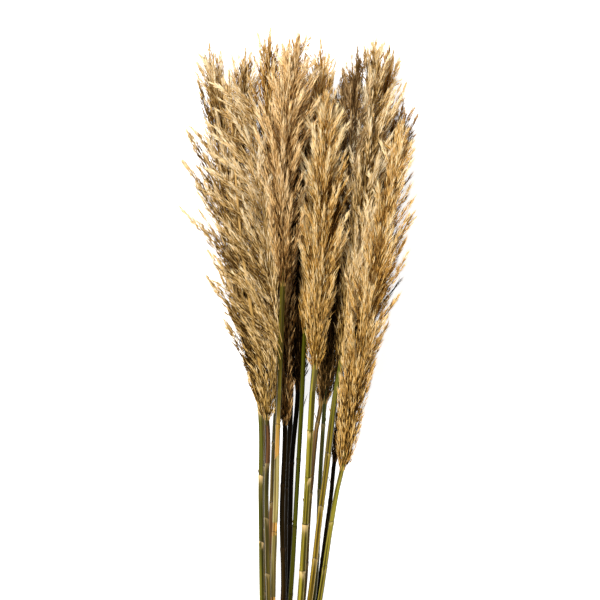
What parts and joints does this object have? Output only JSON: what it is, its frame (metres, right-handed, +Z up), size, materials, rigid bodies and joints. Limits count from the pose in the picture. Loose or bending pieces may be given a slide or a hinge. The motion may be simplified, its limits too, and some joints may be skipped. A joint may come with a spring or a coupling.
{
  "type": "bunch of dried reeds",
  "caption": "Dried reeds with feathery plumes, tied near their cut ends and lying on a surface.",
  "frame": {"origin": "on the surface that the bunch lies on, under the middle of its bounding box", "axes": "+Y along the bunch from the cut ends to the plumes, +X across it, +Z up"},
  "size_m": [0.2024, 0.72, 0.1206],
  "materials": {
    "stem_green": "satin dried reed stem, olive green, with pale rings at its joints",
    "stem_tan": "satin dried reed stem in its tan leaf sheath",
    "stem_dark": "satin dried reed stem, weathered almost black",
    "plume_pale": "matte, dry and feathery, pale straw",
    "plume_gold": "matte, dry and feathery, golden",
    "plume_pink": "matte, dry and feathery, pinkish tan",
    "plume_brown": "matte, dry and feathery, grey brown",
    "plume_dark": "matte, dry and feathery, dark brown",
    "twine": "twisted natural twine"
  },
  "bodies": {
    "root": {"stem_01": "stem_green", "stem_02": "stem_tan", "stem_03": "stem_tan", "stem_04": "stem_tan", "stem_05": "stem_dark", "stem_06": "stem_dark", "stem_07": "stem_dark", "stem_08": "stem_dark", "stem_09": "stem_green", "stem_10": "stem_tan", "stem_11": "stem_green", "stem_12": "stem_green", "stem_13": "stem_tan", "stem_14": "stem_green", "stem_15": "stem_dark", "stem_16": "stem_green", "plume_01": "plume_pale", "plume_02": "plume_pale", "plume_03": "plume_gold", "plume_04": "plume_pink", "plume_05": "plume_pink", "plume_06": "plume_brown", "plume_07": "plume_dark", "plume_08": "plume_gold", "plume_09": "plume_gold", "plume_10": "plume_brown", "plume_11": "plume_brown", "plume_12": "plume_pale", "plume_13": "plume_gold", "plume_14": "plume_gold", "plume_15": "plume_dark", "plume_16": "plume_pale", "tie": "twine"}
  },
  "joints": []
}
